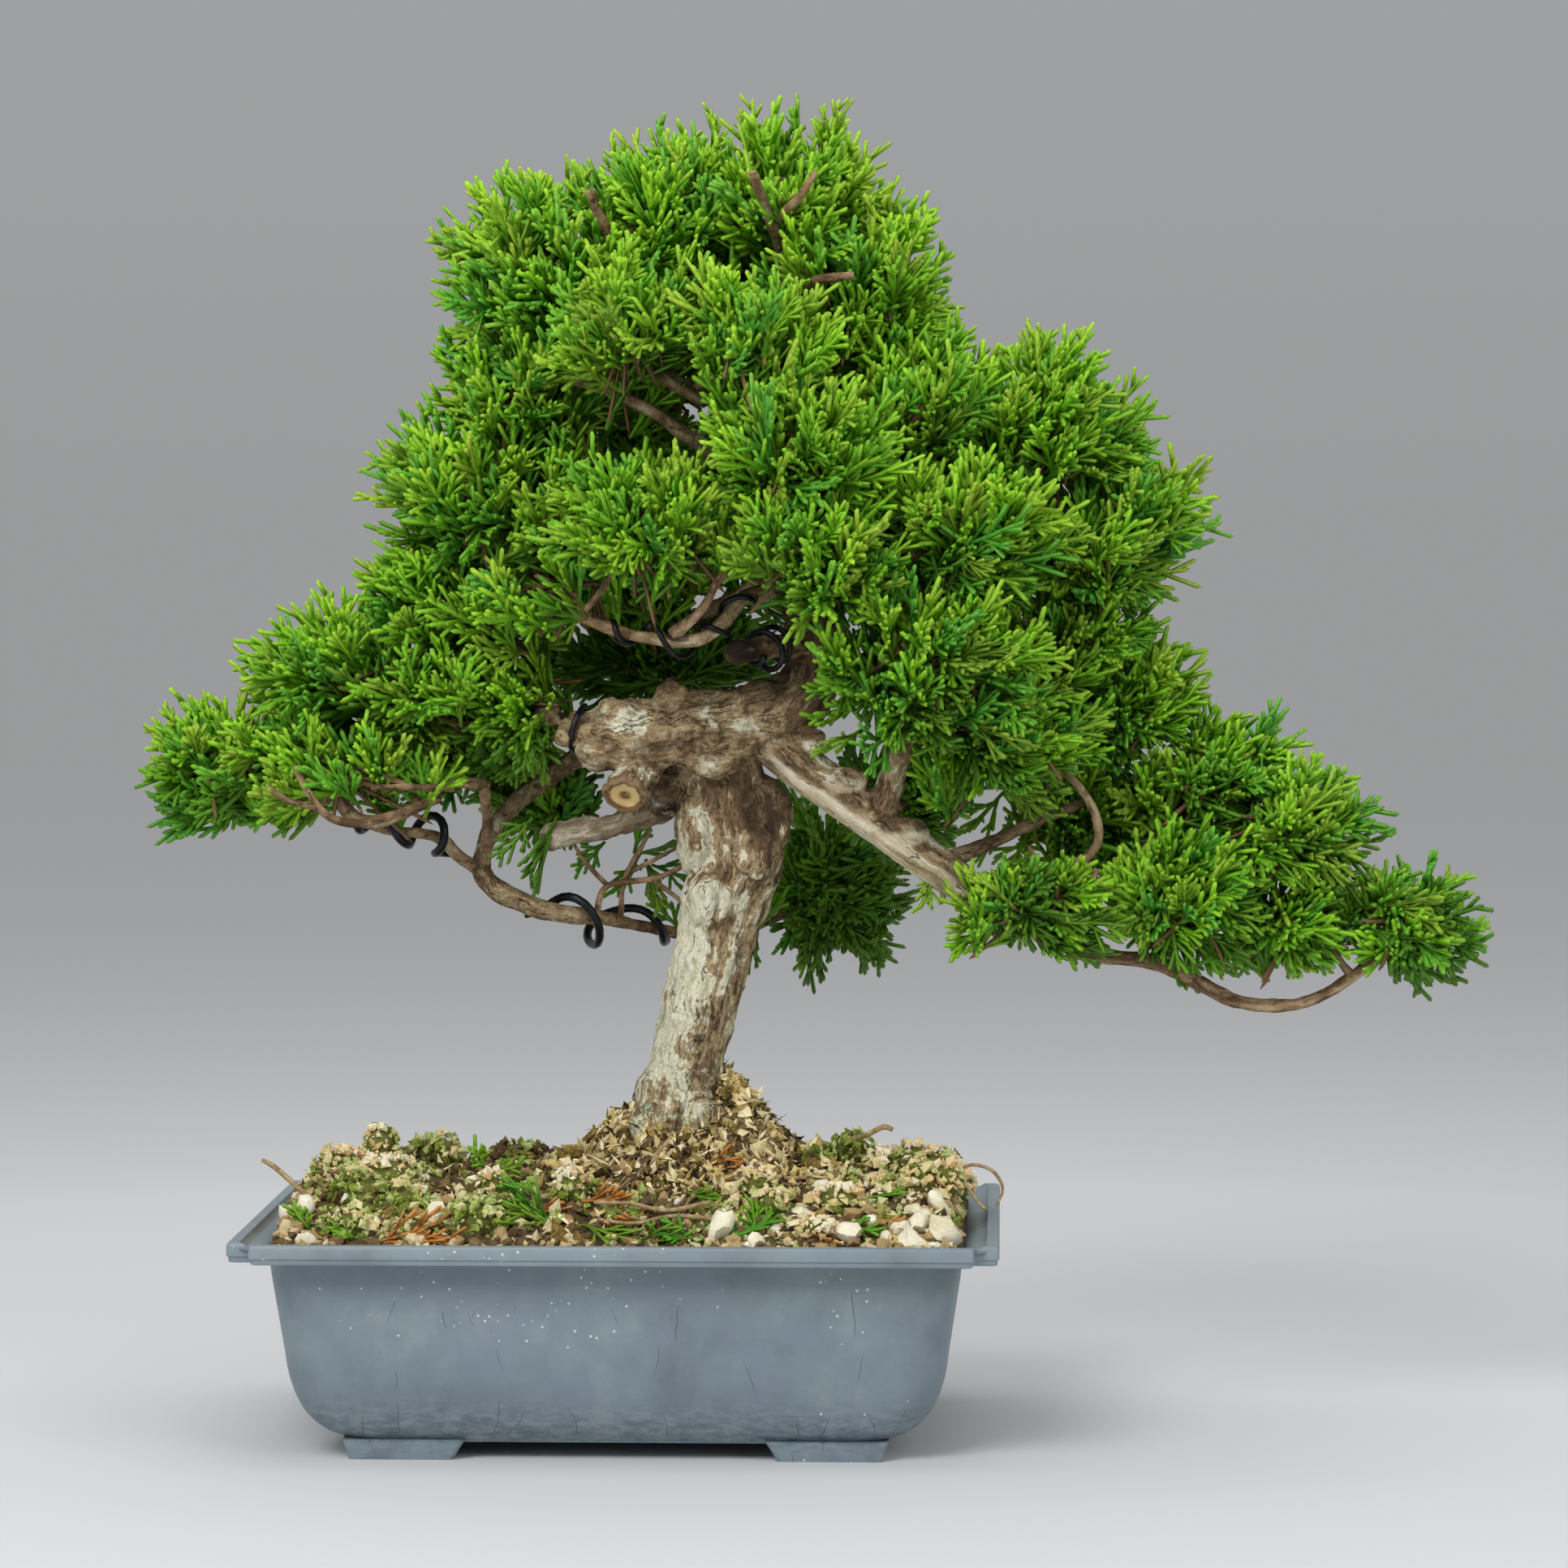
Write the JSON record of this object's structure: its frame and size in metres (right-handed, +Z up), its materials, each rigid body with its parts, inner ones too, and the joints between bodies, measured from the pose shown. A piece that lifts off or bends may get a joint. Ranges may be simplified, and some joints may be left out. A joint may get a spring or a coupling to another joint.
{
  "type": "potted juniper bonsai",
  "caption": "Leaning juniper bonsai with bushy foliage pads and wound training wires, growing in soil in a shallow rectangular plastic training pot.",
  "frame": {"origin": "On the surface the pot stands on, under the middle of the outer box of pot and tree.", "axes": "+Z up, +Y away from the front of the pot, +X to the right along the pot's long side, the side the long low branch reaches to."},
  "size_m": [0.4626, 0.219, 0.4484],
  "materials": {
    "pot": "satin",
    "soil": "matte",
    "bark": "matte",
    "wire": "satin",
    "foliage": "matte"
  },
  "bodies": {
    "root": {"foliage_crown_apex": "foliage", "foliage_crown_back": "foliage", "foliage_crown_back_left": "foliage", "foliage_crown_back_right": "foliage", "foliage_crown_front": "foliage", "foliage_crown_front_left": "foliage", "foliage_crown_left": "foliage", "foliage_crown_left_low": "foliage", "foliage_crown_right": "foliage", "foliage_crown_upper_left": "foliage", "foliage_left_back": "foliage", "foliage_left_front": "foliage", "foliage_left_inner": "foliage", "foliage_left_main": "foliage", "foliage_left_tip": "foliage", "foliage_low_back_left": "foliage", "foliage_low_back_right": "foliage", "foliage_low_front": "foliage", "foliage_mid_back": "foliage", "foliage_mid_back_left": "foliage", "foliage_mid_back_right": "foliage", "foliage_mid_front": "foliage", "foliage_mid_front_low": "foliage", "foliage_mid_left": "foliage", "foliage_mid_left_down": "foliage", "foliage_mid_left_front": "foliage", "foliage_mid_left_low": "foliage", "foliage_mid_right": "foliage", "foliage_right_behind": "foliage", "foliage_right_front": "foliage", "foliage_right_front_low": "foliage", "foliage_right_gap": "foliage", "foliage_right_lobe_front": "foliage", "foliage_right_lobe_out": "foliage", "foliage_right_lobe_top": "foliage", "foliage_shelf_low": "foliage", "foliage_shelf_low_out": "foliage", "foliage_shelf_mid": "foliage", "foliage_shelf_out": "foliage", "foliage_shelf_root": "foliage", "foliage_shelf_top": "foliage", "foliage_tip_right": "foliage", "foliage_window_back": "foliage", "pot": "pot", "soil": "soil", "wire_front_right": "wire", "wire_high_stub": "wire", "wire_left_limb": "wire", "wire_low_branch": "wire", "wire_low_tip": "wire", "wire_mid_branch": "wire", "wood": "bark"}
  },
  "joints": []
}
